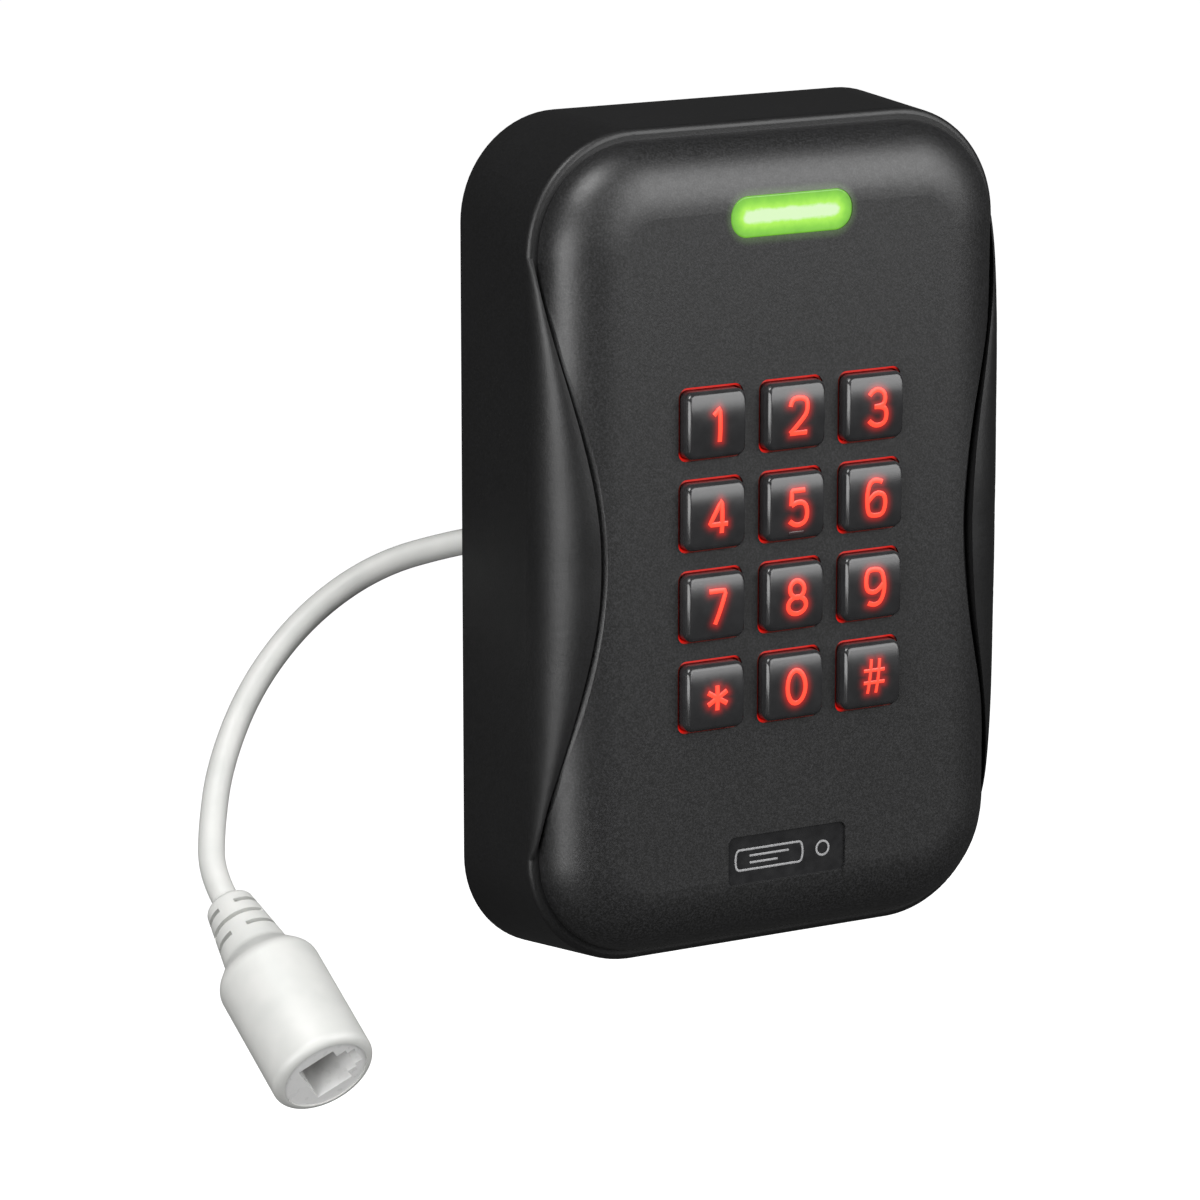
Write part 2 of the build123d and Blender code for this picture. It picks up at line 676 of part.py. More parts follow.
def along(distance):
    """The plane across the connector at this distance from the lead's end of it."""
    return Plane(origin=boot_end + axis * distance, x_dir=notch, z_dir=axis)


with BuildPart() as boot_slots:
    for level, _ in RIB_ROWS:
        floor_r = NECK_R + (NECK_END_R - NECK_R) * level / NECK_LEN - RIB_DEPTH
        with BuildSketch(side):
            with Locations((floor_r + RIB_DEPTH, level)):
                Rectangle(2 * RIB_DEPTH, RIB_SLOT)
    revolve(axis=Axis(boot_end, axis))
    for level, turn in RIB_ROWS:
        bridge = (2.6, 20, 2) if turn == 0 else (20, 2.6, 2)
        with Locations(along(level)):
            Box(*bridge, mode=Mode.SUBTRACT)

with BuildPart() as connector_boot:
    with BuildSketch(side):
        with BuildLine():
            outline = [
                (0, 0),
                (NECK_R, 0),
                (NECK_END_R, NECK_LEN),
                (CONNECTOR_R, NECK_LEN + SHOULDER_LEN),
                (CONNECTOR_R, CONNECTOR_LEN),
                (0, CONNECTOR_LEN),
            ]
            FilletPolyline(*outline, radius=[1.0, 2.5, 3, 1.4])
            Line((0, CONNECTOR_LEN), (0, 0))
        make_face()
    revolve(axis=Axis(boot_end, axis))
    with BuildSketch(along(CONNECTOR_LEN)):
        Circle(INSERT_R)
    extrude(amount=-INSERT_LEN, mode=Mode.SUBTRACT)
    add(boot_slots.part, mode=Mode.SUBTRACT)
save(connector_boot, "connector_boot")

with BuildPart() as jack_insert:
    with BuildSketch(along(CONNECTOR_LEN - INSERT_LEN)):
        Circle(INSERT_R - 0.02)
    extrude(amount=INSERT_LEN - 0.2)
    with BuildSketch(along(CONNECTOR_LEN)):
        Rectangle(SOCKET_T, SOCKET_W)
        with Locations((SOCKET_T / 2 + 0.7, 0)):
            Rectangle(1.6, 5.0)
        with Locations((SOCKET_T / 2 + 2.0, 0)):
            Rectangle(1.4, 3.4)
    extrude(amount=-SOCKET_DEPTH, mode=Mode.SUBTRACT)
save(jack_insert, "jack_insert")

with BuildPart() as jack_contacts:
    floor = along(CONNECTOR_LEN - SOCKET_DEPTH)
    with BuildSketch(floor):
        with Locations((0.2 - SOCKET_T / 2, 0)):
            with GridLocations(0, 1.02, 1, 6):
                Rectangle(0.36, 0.4)
    extrude(amount=6)
save(jack_contacts, "jack_contacts")
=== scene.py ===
"""Keypad access reader: the looks of a wall reader with lit keys, laid out as a Blender add-on."""

import math

import bmesh
import bpy
from bpy.props import FloatProperty, FloatVectorProperty
from mathutils import Matrix, Vector
from mathutils.bvhtree import BVHTree


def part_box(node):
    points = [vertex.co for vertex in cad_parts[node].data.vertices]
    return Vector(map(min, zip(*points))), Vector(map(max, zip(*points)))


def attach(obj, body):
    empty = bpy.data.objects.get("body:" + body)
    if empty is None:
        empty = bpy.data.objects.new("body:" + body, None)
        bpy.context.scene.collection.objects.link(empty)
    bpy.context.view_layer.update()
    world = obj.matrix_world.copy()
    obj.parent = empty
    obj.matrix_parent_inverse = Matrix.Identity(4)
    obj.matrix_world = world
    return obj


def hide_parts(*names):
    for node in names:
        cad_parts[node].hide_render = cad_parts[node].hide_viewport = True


bl_info = {
    "name": "Keypad Access Reader",
    "version": (1, 0, 0),
    "blender": (4, 5, 0),
    "location": "3D View > Sidebar > Reader",
    "description": "Finishes a wall-mounted keypad reader: housing, lit keys, light bar and lead",
    "category": "Object",
}

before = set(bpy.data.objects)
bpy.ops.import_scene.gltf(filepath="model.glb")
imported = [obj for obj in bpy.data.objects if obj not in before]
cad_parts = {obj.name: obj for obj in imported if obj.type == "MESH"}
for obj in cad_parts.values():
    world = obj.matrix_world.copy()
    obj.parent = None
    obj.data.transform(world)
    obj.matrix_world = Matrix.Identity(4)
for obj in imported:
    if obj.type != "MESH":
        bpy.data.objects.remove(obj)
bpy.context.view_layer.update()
MM = 0.001
HOUSING = "housing"
FIGURES = [*"0123456789", "star", "hash"]

# The camera looks down at the front from its left
CAMERA_TURN = math.radians(-29.639)
CAMERA_RISE = math.radians(13.015)
CAMERA_TARGET = Vector((-24.834, -14.0, -7.883)) * MM
CAMERA_DISTANCE = 832.341 * MM
CAMERA_LENS = 164.625

# What holds a key cap in its opening, and what stands on its front
COLLAR_DEPTH = 0.6 * MM
PLUNGER_RADIUS = 2.0 * MM
PLUNGER_LENGTH = 1.7 * MM
NUB_SIZE = (2.6 * MM, 0.8 * MM, 0.6 * MM)
NUB_DROP = 4.0 * MM
LEGEND_RISE = 0.06 * MM
HASH_STROKE_SHARE = 0.72
CAP_CUTS = 26

# Half the length of the status light's pale core
BAR_CORE = 7.3 * MM

# The lead's route from the strain relief to the connector, as the model has it
LEAD_ROUTE = [
    (-0.0065, 0.0075, -0.003),
    (-0.012, 0.013, -0.003),
    (-0.0203, 0.018, -0.0038),
    (-0.0309, 0.0223, -0.0053),
    (-0.043, 0.025, -0.008),
    (-0.0554, 0.0247, -0.0145),
    (-0.0666, 0.0212, -0.0236),
    (-0.0752, 0.0148, -0.0335),
    (-0.0804, 0.0074, -0.0414),
    (-0.0834, 0.00125, -0.0468),
    (-0.0832, -0.004, -0.0501),
]


# ---------------------------------------------------------------- colours and nodes
def linear(code):
    """An sRGB hex colour as the linear colour that shaders work in."""
    channels = [int(code[i : i + 2], 16) / 255 for i in (1, 3, 5)]
    return tuple(c / 12.92 if c <= 0.04045 else ((c + 0.055) / 1.055) ** 2.4 for c in channels)


def opaque(colour):
    return (*tuple(colour)[:3], 1.0)


def add(tree, kind, inputs=None, **settings):
    """Adds a node. An input is a value, an output socket, or a node whose first output is meant."""
    node = tree.nodes.new(kind)
    for name, value in settings.items():
        setattr(node, name, value)
    for name, value in (inputs or {}).items():
        if isinstance(value, bpy.types.Node):
            value = value.outputs[0]
        if isinstance(value, bpy.types.NodeSocket):
            tree.links.new(value, node.inputs[name])
        else:
            node.inputs[name].default_value = value
    return node


def material(name, build):
    """A material whose surface shader is what build(tree) returns."""
    made = bpy.data.materials.get(name)
    if made:
        return made
    made = bpy.data.materials.new(name)
    made.use_nodes = True
    tree = made.node_tree
    tree.nodes.clear()
    add(tree, "ShaderNodeOutputMaterial", {"Surface": build(tree)})
    return made


def grain(tree, size_mm, detail=2.0, rough=0.5):
    """Noise in the piece's own space, with cells about this many millimetres across."""
    place = add(tree, "ShaderNodeTexCoord").outputs["Object"]
    inputs = {"Vector": place, "Scale": 1 / (size_mm * MM), "Detail": detail, "Roughness": rough}
    return add(tree, "ShaderNodeTexNoise", inputs)


def mottle(tree, fac, low, high, start=0.3, end=0.7):
    """A colour that goes from one shade to another as fac goes from start to end."""
    share = add(tree, "ShaderNodeMapRange", {0: fac, 1: start, 2: end})
    shades = {0: share, 6: opaque(linear(low)), 7: opaque(linear(high))}
    return add(tree, "ShaderNodeMix", shades, data_type="RGBA").outputs[2]


# ---------------------------------------------------------------- materials
def spark_textured_abs():
    """Black ABS from a spark-eroded mould: a fine even grain that breaks up every highlight."""

    def build(tree):
        fine = grain(tree, 0.3, 3, 0.6)
        cloud = grain(tree, 9)
        inputs = {
            "Base Color": mottle(tree, fine, "#0A0A0A", "#1A1A1B", 0.35, 0.75),
            "Roughness": add(tree, "ShaderNodeMapRange", {0: cloud, 3: 0.42, 4: 0.50}),
            "IOR": 1.53,
            "Normal": add(tree, "ShaderNodeBump", {"Height": fine, "Distance": 0.03 * MM, "Strength": 0.6}),
        }
        return add(tree, "ShaderNodeBsdfPrincipled", inputs)

    return material("spark_textured_abs", build)


def bar_distance(tree):
    """Distance in metres from the core line of the status light."""
    centre = box_centre("light_bar")
    place = add(tree, "ShaderNodeTexCoord").outputs["Object"]
    from_centre = add(tree, "ShaderNodeVectorMath", {0: place, 1: centre}, operation="SUBTRACT")
    parts = add(tree, "ShaderNodeSeparateXYZ", {0: from_centre})
    along = add(tree, "ShaderNodeMath", {0: parts.outputs["X"]}, operation="ABSOLUTE")
    past = add(tree, "ShaderNodeMath", {0: along, 1: BAR_CORE}, operation="SUBTRACT")
    past = add(tree, "ShaderNodeMath", {0: past, 1: 0.0}, operation="MAXIMUM")
    offset = add(tree, "ShaderNodeCombineXYZ", {0: past, 1: 0.0, 2: parts.outputs["Z"]})
    return add(tree, "ShaderNodeVectorMath", {0: offset}, operation="LENGTH").outputs["Value"]


def speckled_polycarbonate():
    """Charcoal polycarbonate with a sprayed soft-feel coat: matt, with pale specks in it, and
    with a painted soft green glow where the status light spills over the edge of its window."""

    def build(tree):
        specks = grain(tree, 0.32, 2, 0.7)
        coat = grain(tree, 0.9)
        # Painted light: green glow of the status light spilling onto the panel next to its window
        near = add(
            tree,
            "ShaderNodeMapRange",
            {0: bar_distance(tree), 1: 3.0 * MM, 2: 4.6 * MM, 3: 0.16, 4: 0.0},
            interpolation_type="SMOOTHSTEP",
        )
        pits = {"Height": specks, "Distance": 0.03 * MM, "Strength": 0.55}
        inputs = {
            "Base Color": mottle(tree, specks, "#101010", "#2E2E2F", 0.4, 0.72),
            "Roughness": add(tree, "ShaderNodeMapRange", {0: coat, 3: 0.38, 4: 0.48}),
            "IOR": 1.58,
            "Normal": add(tree, "ShaderNodeBump", pits),
            "Emission Color": opaque(linear("#8FBF6A")),
            "Emission Strength": near,
        }
        return add(tree, "ShaderNodeBsdfPrincipled", inputs)

    return material("speckled_polycarbonate", build)


def satin_keycap_abs():
    """Dark grey ABS caps, satin polished, with a painted red glow round each legend where its light soaks
    into the plastic.
    """

    def build(tree):
        wear = grain(tree, 2.5, 3)
        fine = grain(tree, 0.2)
        # Painted light: the red halo round the legend, read from the cap's glow attribute
        glow = add(tree, "ShaderNodeAttribute", attribute_name="glow").outputs["Fac"]
        inputs = {
            "Base Color": mottle(tree, wear, "#262627", "#2D2D2E"),
            "Roughness": add(tree, "ShaderNodeMapRange", {0: wear, 3: 0.18, 4: 0.26}),
            "IOR": 1.53,
            "Normal": add(tree, "ShaderNodeBump", {"Height": fine, "Distance": 0.004 * MM, "Strength": 0.4}),
            "Emission Color": opaque(linear("#FF1408")),
            "Emission Strength": add(tree, "ShaderNodeMath", {0: glow, 1: 0.35}, operation="MULTIPLY"),
        }
        return add(tree, "ShaderNodeBsdfPrincipled", inputs)

    return material("satin_keycap_abs", build)


def lit_legend_ink():
    """Laser-etched legends: translucent red windows in the cap, palest along each stroke's middle."""

    def build(tree):
        rim = add(tree, "ShaderNodeAttribute", attribute_name="rim").outputs["Fac"]
        inputs = {
            "Base Color": mottle(tree, grain(tree, 1.5), "#A01206", "#B8160A"),
            "Roughness": 0.35,
            "Emission Color": mottle(tree, rim, "#FF5A42", "#E8160A", 0.35, 1.0),
            "Emission Strength": 0.95,
        }
        return add(tree, "ShaderNodeBsdfPrincipled", inputs)

    return material("lit_legend_ink", build)


def red_light_guide_acrylic():
    """Red cast acrylic that carries light to the key openings: a faint glow of its own, and a painted glow
    that is brightest along each top edge and in each lower left corner; elsewhere it is a dull brown red."""

    def build(tree):
        centre = box_centre("key_5")
        place = add(tree, "ShaderNodeTexCoord").outputs["Object"]
        from_centre = add(tree, "ShaderNodeVectorMath", {0: place, 1: centre}, operation="SUBTRACT")
        half = (key_pitch() / 2,) * 3
        bounds = {0: from_centre, 1: half, 2: [-h for h in half]}
        cell = add(tree, "ShaderNodeVectorMath", bounds, operation="WRAP")
        parts = add(tree, "ShaderNodeSeparateXYZ", {0: cell})
        across, up = parts.outputs["X"], parts.outputs["Z"]
        # Painted light masks: each opening's top edge and its lower left corner
        top = add(tree, "ShaderNodeMapRange", {0: up, 1: 5.0 * MM, 2: 5.5 * MM})
        left = add(tree, "ShaderNodeMapRange", {0: across, 1: -5.0 * MM, 2: -3.6 * MM, 3: 1.0, 4: 0.0})
        low = add(tree, "ShaderNodeMapRange", {0: up, 1: -5.0 * MM, 2: -4.0 * MM, 3: 1.0, 4: 0.0})
        corner = add(tree, "ShaderNodeMath", {0: left, 1: low}, operation="MULTIPLY")
        lit = add(tree, "ShaderNodeMath", {0: top, 1: corner}, operation="MAXIMUM")
        inputs = {
            "Base Color": mottle(tree, grain(tree, 0.8), "#4A1810", "#5A1E14"),
            "Roughness": 0.25,
            "IOR": 1.49,
            "Emission Color": opaque(linear("#F0160E")),
            "Emission Strength": add(tree, "ShaderNodeMapRange", {0: lit, 3: 0.03, 4: 0.75}),
        }
        return add(tree, "ShaderNodeBsdfPrincipled", inputs)

    return material("red_light_guide_acrylic", build)


def green_diffuser_polycarbonate():
    """Opal polycarbonate over green diodes: a pale uneven core, bright green round it, and a
    deeper green towards the edge."""

    def build(tree):
        ragged = add(tree, "ShaderNodeMapRange", {0: grain(tree, 1.2, 3), 3: -0.45 * MM, 4: 0.45 * MM})
        away = add(tree, "ShaderNodeMath", {0: bar_distance(tree), 1: ragged}, operation="ADD")
        share = add(tree, "ShaderNodeMath", {0: away, 1: 3.6 * MM}, operation="DIVIDE")
        ramp = add(tree, "ShaderNodeValToRGB", {"Fac": share})
        stops = ramp.color_ramp.elements
        stops[0].position, stops[1].position = 0.20, 1.0
        stops[0].color, stops[1].color = opaque(linear("#DDF6C6")), opaque(linear("#5E9E30"))
        for position, code in ((0.34, "#B0F254"), (0.60, "#8AD440"), (0.80, "#78BE3A")):
            stops.new(position).color = opaque(linear(code))
        inputs = {
            "Base Color": opaque(linear("#1C3A10")),
            "Roughness": 0.35,
            "IOR": 1.58,
            "Emission Color": ramp,
            "Emission Strength": 0.95,
        }
        return add(tree, "ShaderNodeBsdfPrincipled", inputs)

    return material("green_diffuser_polycarbonate", build)


def moulded(name, low, high, grain_mm, roughness, depth_mm=0.01, ior=1.5, metallic=0.0):
    """A plain moulded, cast or plated surface: two close shades over a fine grain."""

    def build(tree):
        fine = grain(tree, grain_mm, 3)
        span = {0: fine, 1: 0.3, 2: 0.7, 3: roughness - 0.05, 4: roughness + 0.05}
        relief = {"Height": fine, "Distance": depth_mm * MM, "Strength": 0.5}
        inputs = {
            "Base Color": mottle(tree, fine, low, high),
            "Roughness": add(tree, "ShaderNodeMapRange", span),
            "Metallic": metallic,
            "IOR": ior,
            "Normal": add(tree, "ShaderNodeBump", relief),
        }
        return add(tree, "ShaderNodeBsdfPrincipled", inputs)

    return material(name, build)


def soft_pvc():
    """Light grey PVC, extruded and over-moulded: matt, slightly waxy, with a faint orange peel."""

    def build(tree):
        peel = grain(tree, 0.8, 3, 0.6)
        inputs = {
            "Base Color": mottle(tree, grain(tree, 6), "#C6C7C4", "#CFCFCC"),
            "Roughness": add(tree, "ShaderNodeMapRange", {0: peel, 3: 0.40, 4: 0.50}),
            "IOR": 1.53,
            "Subsurface Weight": 0.05,
            "Subsurface Radius": (0.002, 0.002, 0.002),
            "Normal": add(tree, "ShaderNodeBump", {"Height": peel, "Distance": 0.012 * MM, "Strength": 0.35}),
        }
        return add(tree, "ShaderNodeBsdfPrincipled", inputs)

    return material("soft_pvc", build)


def zinc_plated_steel():
    """Rolled sheet steel with bright zinc plate: fine rolling lines along its height."""

    def build(tree):
        place = add(tree, "ShaderNodeTexCoord").outputs["Object"]
        stretch = add(tree, "ShaderNodeMapping", {"Vector": place, "Scale": (1, 1, 0.04)})
        lines = add(tree, "ShaderNodeTexNoise", {"Vector": stretch, "Scale": 1 / (0.3 * MM), "Detail": 3})
        inputs = {
            "Base Color": mottle(tree, lines, "#A9ABAD", "#C4C6C8"),
            "Metallic": 1.0,
            "Roughness": add(tree, "ShaderNodeMapRange", {0: lines, 1: 0.3, 2: 0.7, 3: 0.28, 4: 0.42}),
            "Normal": add(tree, "ShaderNodeBump", {"Height": lines, "Distance": 0.006 * MM, "Strength": 0.4}),
        }
        return add(tree, "ShaderNodeBsdfPrincipled", inputs)

    return material("zinc_plated_steel", build)


def solder_mask():
    """Green solder mask over copper tracks: glossy, with the tracks showing as paler lines."""

    def build(tree):
        place = add(tree, "ShaderNodeTexCoord").outputs["Object"]
        black, white = (0, 0, 0, 1), (1, 1, 1, 1)
        pattern = {"Vector": place, "Scale": 1 / (4 * MM), "Mortar Size": 0.06}
        pattern |= {"Color1": black, "Color2": black, "Mortar": white}
        tracks = add(tree, "ShaderNodeTexBrick", pattern)
        inputs = {
            "Base Color": mottle(tree, tracks, "#0E4A22", "#1E6A36", 0, 1),
            "Roughness": 0.25,
            "IOR": 1.55,
            "Normal": add(tree, "ShaderNodeBump", {"Height": tracks, "Distance": 0.03 * MM, "Strength": 0.5}),
        }
        return add(tree, "ShaderNodeBsdfPrincipled", inputs)

    return material("solder_mask", build)


# ---------------------------------------------------------------- meshes
def finish_piece(bm, name, surface, body, slot_name, *nodes, sharp=35):
    """Makes a piece of the bmesh: shaded smooth but for its sharp edges, and riding on its body."""
    bmesh.ops.recalc_face_normals(bm, faces=bm.faces)
    mesh = bpy.data.meshes.new(name)
    bm.to_mesh(mesh)
    bm.free()
    mesh.polygons.foreach_set("use_smooth", [True] * len(mesh.polygons))
    mesh.set_sharp_from_angle(angle=math.radians(sharp))
    piece = bpy.data.objects.new(name, mesh)
    bpy.context.scene.collection.objects.link(piece)
    mesh.materials.append(surface)
    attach(piece, body)
    if nodes:
        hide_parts(*nodes)
    return piece


def round_edges(bm, edges, radius, segments):
    """Rounds these edges with a circular section."""
    bmesh.ops.bevel(
        bm, geom=edges, offset=radius, segments=segments, affect="EDGES", profile=0.5, material=-1
    )


def surface_on(node, made):
    """Gives a model node its material, whatever slots it came with."""
    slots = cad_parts[node].data.materials
    for i in range(len(slots)):
        slots[i] = made


def key_pitch():
    left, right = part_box("key_4"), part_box("key_5")
    return (right[0] - left[0]).x


def box_centre(node):
    low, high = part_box(node)
    return (low + high) / 2


def stroke_mesh(context, strokes, width, depth):
    """Round-ended strokes in the XY plane as a flat-backed mesh, and how near each point is to its edge.

    A stroke is (order, closed, points): order 2 is straight between its points and 3 is curved.
    """
    curve = bpy.data.curves.new("strokes", "CURVE")
    curve.dimensions = "3D"
    curve.bevel_depth = width / 2
    curve.bevel_resolution = 3
    curve.resolution_u = 6
    curve.use_fill_caps = True
    for order, closed, points in strokes:
        spline = curve.splines.new("NURBS")
        spline.points.add(len(points) - 1)
        for point, (x, y) in zip(spline.points, points):
            point.co = (x, y, 0, 1)
        spline.order_u = order
        spline.use_cyclic_u = closed
        spline.use_endpoint_u = not closed
    holder = bpy.data.objects.new("strokes", curve)
    context.scene.collection.objects.link(holder)
    context.view_layer.update()
    flat = bpy.data.meshes.new_from_object(holder.evaluated_get(context.evaluated_depsgraph_get()))
    bpy.data.objects.remove(holder)
    bm = bmesh.new()
    bm.from_mesh(flat)
    rim = bm.verts.layers.float.new("rim")
    for vert in bm.verts:
        vert[rim] = 1 - min(1, abs(vert.co.z) / (width / 2))
    bmesh.ops.scale(bm, vec=(1, 1, depth / (width / 2)), verts=bm.verts)
    return bm


def ring_points(x, y, wide, tall):
    """The eight points that draw an oval of this half width and half height."""
    turns = [math.radians(22.5 + 45 * i) for i in range(8)]
    return [(x + 1.08 * wide * math.cos(a), y + 1.08 * tall * math.sin(a)) for a in turns]


def figure_strokes(name):
    """The strokes of a key's figure, in halves of its width and height."""
    six = [(0.7, 0.93), (0.1, 1.12), (-0.65, 0.95), (-0.98, 0.3), (-0.98, -0.35), (-0.75, -1.0), (0, -1.1)]
    six += [(0.75, -1.05), (1.02, -0.5), (0.92, 0.1), (0.4, 0.3), (-0.3, 0.25), (-0.9, -0.2)]
    two = [(-0.85, 0.62), (-0.7, 1.0), (0, 1.12), (0.95, 1.0), (0.95, 0.35), (0.6, -0.1), (-0.85, -1)]
    upper = [(-0.8, 0.75), (-0.45, 1.03), (0.3, 1.1), (0.9, 0.8), (0.8, 0.2), (0.2, 0.06), (-0.3, 0.06)]
    lower = [(-0.3, 0.06), (0.3, 0.06), (1.0, -0.1), (1.0, -0.85), (0.4, -1.1), (-0.4, -1.05), (-0.85, -0.75)]
    belly = [(-0.7, 0.12), (-0.3, 0.3), (0.6, 0.3), (1.0, -0.1), (0.95, -0.85), (0.3, -1.1), (-0.4, -1.05)]
    return {
        "0": [(3, True, ring_points(0, 0, 0.95, 1))],
        "1": [(2, False, [(-0.5, 0.6), (0.15, 1), (0.15, -1)])],
        "2": [(3, False, two), (2, False, [(-0.85, -1), (0.95, -1)])],
        "3": [(3, False, upper), (3, False, lower)],
        "4": [(2, False, [(0.4, -1), (0.4, 1), (-0.95, -0.45), (1, -0.45)])],
        "5": [(2, False, [(0.8, 1), (-0.6, 1), (-0.7, 0.12)]), (3, False, [*belly, (-0.85, -0.8)])],
        "6": [(3, False, six)],
        "7": [(2, False, [(-0.85, 1), (0.9, 1), (-0.25, -1)])],
        "8": [(3, True, ring_points(0, 0.5, 0.75, 0.5)), (3, True, ring_points(0, -0.48, 0.95, 0.52))],
        "9": [(3, False, [(-x, -y) for x, y in six])],
        "star": [(2, False, [(0, 0.75), (0, -0.75)])]
        + [(2, False, [(-1, 0.38 * side), (1, -0.38 * side)]) for side in (1, -1)],
        "hash": [(2, False, [(x + 0.18, 1), (x - 0.18, -1)]) for x in (-0.42, 0.42)]
        + [(2, False, [(-1.05, y), (1.05, y)]) for y in (0.36, -0.36)],
    }[name]


# ---------------------------------------------------------------- properties
class ReaderSizes(bpy.types.PropertyGroup):
    cap_width: FloatProperty(
        name="Cap width", description="Width and height of a key cap", default=10.2 * MM, unit="LENGTH"
    )
    cap_corner: FloatProperty(
        name="Cap corner", description="Radius of a cap's four corners", default=1.3 * MM, unit="LENGTH"
    )
    cap_edge: FloatProperty(
        name="Cap edge", description="Radius round a cap's front edge", default=0.7 * MM, unit="LENGTH"
    )
    cap_crown: FloatProperty(
        name="Cap crown", description="Radius of a cap's curved front", default=19 * MM, unit="LENGTH"
    )
    legend_height: FloatProperty(
        name="Legend height", description="Height of a figure on a key", default=5.9 * MM, unit="LENGTH"
    )
    legend_width: FloatProperty(
        name="Legend width", description="Width of a figure on a key", default=4.1 * MM, unit="LENGTH"
    )
    legend_stroke: FloatProperty(
        name="Legend stroke", description="Width of a figure's strokes", default=0.78 * MM, unit="LENGTH"
    )
    glow_reach: FloatProperty(
        name="Glow reach", description="How far light spreads round a legend", default=0.5 * MM, unit="LENGTH"
    )
    lead_diameter: FloatProperty(
        name="Lead diameter", description="Outer diameter of the lead", default=4.1 * MM, unit="LENGTH"
    )
    lead_length: FloatProperty(
        name="Lead length", description="Free length of the lead", default=111.6 * MM, unit="LENGTH"
    )


class ReaderColours(bpy.types.PropertyGroup):
    paper: FloatVectorProperty(
        name="Paper",
        description="Colour of the floor",
        subtype="COLOR",
        default=linear("#F6F6F6"),
        min=0,
        max=1,
    )


# ---------------------------------------------------------------- operators
class READER_OT_stage(bpy.types.Operator):
    """Sets the camera, the studio lights and a plain pale floor"""

    bl_idname = "reader.stage"
    bl_label = "Studio"

    def execute(self, context):
        scene = context.scene
        scene.view_settings.view_transform = "Standard"
        level = math.cos(CAMERA_RISE)
        sideways, back = math.sin(CAMERA_TURN) * level, -math.cos(CAMERA_TURN) * level
        towards = Vector((sideways, back, math.sin(CAMERA_RISE)))
        lens = bpy.data.cameras.new("camera")
        lens.lens = CAMERA_LENS
        lens.clip_start = 0.05
        camera = bpy.data.objects.new("camera", lens)
        camera.location = CAMERA_TARGET + towards * CAMERA_DISTANCE
        camera.rotation_euler = (-towards).to_track_quat("-Z", "Y").to_euler()
        scene.collection.objects.link(camera)
        scene.camera = camera

        world = bpy.data.worlds.new("studio")
        world.use_nodes = True
        world.node_tree.nodes["Background"].inputs["Color"].default_value = (1, 1, 1, 1)
        world.node_tree.nodes["Background"].inputs["Strength"].default_value = 0.06
        scene.world = world

        self.softbox(scene, "side_softbox", (-0.80, -0.50, 0.02), 1.0, 0.55, 7.0)
        self.softbox(scene, "upper_softbox", (-0.42, -0.30, 0.85), 1.0, 0.45, 7.0)
        self.softbox(scene, "front_softbox", (0.50, -0.80, 0.42), 1.3, 0.95, 16.0)
        self.floor(scene)
        return {"FINISHED"}

    def softbox(self, scene, name, direction, distance, size, power):
        light = bpy.data.lights.new(name, "AREA")
        light.shape = "SQUARE"
        light.size = size
        light.energy = power
        lamp = bpy.data.objects.new(name, light)
        away = Vector(direction).normalized()
        lamp.location = away * distance
        lamp.rotation_euler = away.to_track_quat("Z", "Y").to_euler()
        scene.collection.objects.link(lamp)

    def floor(self, scene):
        bm = bmesh.new()
        bmesh.ops.create_grid(bm, x_segments=1, y_segments=1, size=6)
        mesh = bpy.data.meshes.new("floor")
        bm.to_mesh(mesh)
        bm.free()
        floor = bpy.data.objects.new("floor", mesh)
        floor.location.z = -0.35
        floor.visible_glossy = False
        floor.visible_diffuse = False
        scene.collection.objects.link(floor)
        paper = scene.reader_colours.paper

        def build(tree):
            return add(
                tree,
                "ShaderNodeBsdfPrincipled",
                {
                    "Base Color": opaque(paper),
                    "Roughness": 0.9,
                    "Emission Color": opaque(paper),
                    "Emission Strength": 1.02,
                },
            )

        mesh.materials.append(material("matt_paper", build))


class READER_OT_lead(bpy.types.Operator):
    """Lays the lead along its route, with its strain relief and socket"""

    bl_idname = "reader.lead"
    bl_label = "Lead"

    def execute(self, context):
        sizes = context.scene.reader_sizes
        curve = bpy.data.curves.new("lead", "CURVE")
        curve.dimensions = "3D"
        curve.bevel_depth = sizes.lead_diameter / 2
        curve.bevel_resolution = 8
        curve.resolution_u = 24
        curve.use_fill_caps = True
        spline = curve.splines.new("NURBS")
        spline.points.add(len(LEAD_ROUTE) - 1)
        for point, place in zip(spline.points, LEAD_ROUTE):
            point.co = (*place, 1)
        spline.order_u = 3
        spline.use_endpoint_u = True
        lead = bpy.data.objects.new("lead", curve)
        context.scene.collection.objects.link(lead)
        curve.materials.append(soft_pvc())
        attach(lead, HOUSING)
        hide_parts("cable")
        surface_on("cable_gland", soft_pvc())
        surface_on("connector_boot", soft_pvc())
        surface_on("jack_insert", moulded("white_pbt", "#DCDCDB", "#E2E2E1", 1.2, 0.3, 0.002))
        gold = moulded("gold_plate", "#D8A850", "#E8C070", 0.5, 0.22, 0.002, metallic=1.0)
        surface_on("jack_contacts", gold)
        return {"FINISHED"}


